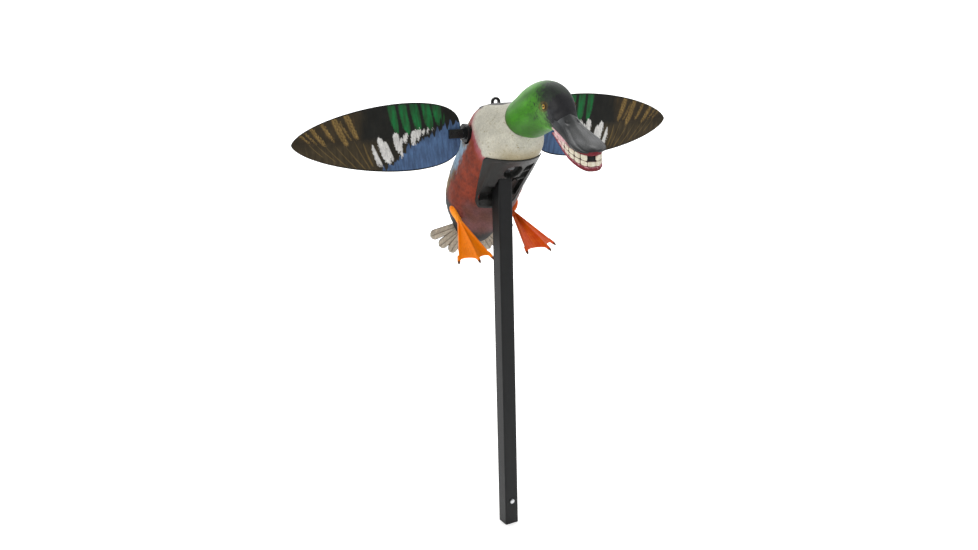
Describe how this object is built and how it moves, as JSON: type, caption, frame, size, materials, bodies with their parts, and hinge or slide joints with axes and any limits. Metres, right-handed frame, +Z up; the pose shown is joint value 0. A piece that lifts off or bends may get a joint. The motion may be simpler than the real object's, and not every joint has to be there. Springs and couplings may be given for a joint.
{
  "type": "motion wing decoy",
  "caption": "Landing duck decoy on a square pole, with a motor that spins its two painted wings, a hinged back door and a push switch in the belly pan.",
  "frame": {"origin": "centre of the pole's bottom end", "axes": "+Z up along the pole, the duck looks along -Y, +X is the duck's left"},
  "size_m": [0.69, 0.38, 0.7735],
  "materials": {
    "pole_black": "satin black powder coat",
    "bright_steel": "bright",
    "spring_steel": "satin",
    "screw_steel": "zinc plated",
    "body_paint": "painted feathers, matte",
    "pan_black": "moulded, satin",
    "rubber_black": "matte",
    "switch_plastic": "semi gloss",
    "head_green": "painted, soft sheen",
    "bill_charcoal": "painted, satin",
    "jaw_red": "painted, semi gloss",
    "tooth_cream": "painted, semi gloss",
    "eye_gold": "glossy",
    "tail_grey": "painted, matte",
    "leg_orange": "moulded, soft sheen",
    "motor_steel": "zinc plated",
    "magnet_grey": "matte ferrite",
    "bronze": "sintered bronze",
    "copper_winding": "enamelled copper",
    "hub_black": "moulded, satin",
    "wing_paint": "painted feathers on a thin sheet",
    "door_brown": "painted, matte",
    "cell_copper": "printed sleeve",
    "contact_nickel": "nickel plated",
    "board_green": "solder mask",
    "lead_red": "insulated wire"
  },
  "bodies": {
    "pole": {"pole_tube": "pole_black", "snap_spring": "spring_steel"},
    "button": {"snap_button": "bright_steel"},
    "decoy": {"body_shell": "body_paint", "belly_pan": "pan_black", "pole_socket": "pan_black", "pan_screws": "screw_steel", "switch_boot": "rubber_black", "head_shell": "head_green", "upper_bill": "bill_charcoal", "upper_gum": "jaw_red", "lower_jaw": "jaw_red", "upper_teeth": "tooth_cream", "lower_teeth": "tooth_cream", "eye_left": "eye_gold", "eye_right": "eye_gold", "tail_fan": "tail_grey", "leg_left": "leg_orange", "leg_right": "leg_orange", "leg_screws": "screw_steel", "motor_can": "motor_steel", "motor_magnets": "magnet_grey", "motor_bushings": "bronze", "motor_cradle": "pan_black", "motor_strap": "spring_steel", "strap_screws": "screw_steel", "shaft_bushing_left": "bronze", "shaft_bushing_right": "bronze", "hinge_bracket": "pan_black", "hinge_pin": "bright_steel", "battery_tray": "pan_black", "battery_cells": "cell_copper", "battery_contacts": "contact_nickel", "receiver_board": "board_green", "motor_leads": "lead_red"},
    "switch": {"power_switch": "switch_plastic"},
    "rotor": {"drive_shaft": "bright_steel", "armature": "copper_winding", "hub_left": "hub_black", "hub_right": "hub_black", "hub_magnet_left": "bright_steel", "hub_magnet_right": "bright_steel", "hub_screws": "screw_steel"},
    "wing_left": {"wing_panel_left": "wing_paint", "wing_clamp_left": "hub_black", "wing_keeper_left": "bright_steel", "clamp_screws_left": "screw_steel"},
    "wing_right": {"wing_panel_right": "wing_paint", "wing_clamp_right": "hub_black", "wing_keeper_right": "bright_steel", "clamp_screws_right": "screw_steel"},
    "door": {"back_door": "door_brown", "door_knuckle": "pan_black", "pull_loop": "rubber_black"}
  },
  "joints": [
    {"name": "button_press", "type": "slide", "parent": "pole", "child": "button", "axis": [0, 1, 0], "range_m": [0, 0.0038], "stiffness_N_per_m": 400, "springref_m": -0.004, "deforming": ["snap_spring"]},
    {"name": "decoy_lift", "type": "slide", "parent": "pole", "child": "decoy", "axis": [0, 0, 1], "range_m": [0, 0.09]},
    {"name": "switch_press", "type": "slide", "parent": "decoy", "child": "switch", "axis": [0, 0.7071, 0.7071], "range_m": [0, 0.0025], "stiffness_N_per_m": 500, "springref_m": -0.002},
    {"name": "wing_spin", "type": "hinge", "parent": "decoy", "child": "rotor", "pos_m": [0, 0.01, 0.6906], "axis": [1, 0, 0], "continuous": true},
    {"name": "left_wing_pull", "type": "slide", "parent": "rotor", "child": "wing_left", "axis": [-1, 0, 0], "range_m": [0, 0.04]},
    {"name": "right_wing_pull", "type": "slide", "parent": "rotor", "child": "wing_right", "axis": [1, 0, 0], "range_m": [0, 0.04]},
    {"name": "door_open", "type": "hinge", "parent": "decoy", "child": "door", "pos_m": [0, 0.08604, 0.65448], "axis": [-1, 0, 0], "range_deg": [0, 100]}
  ]
}
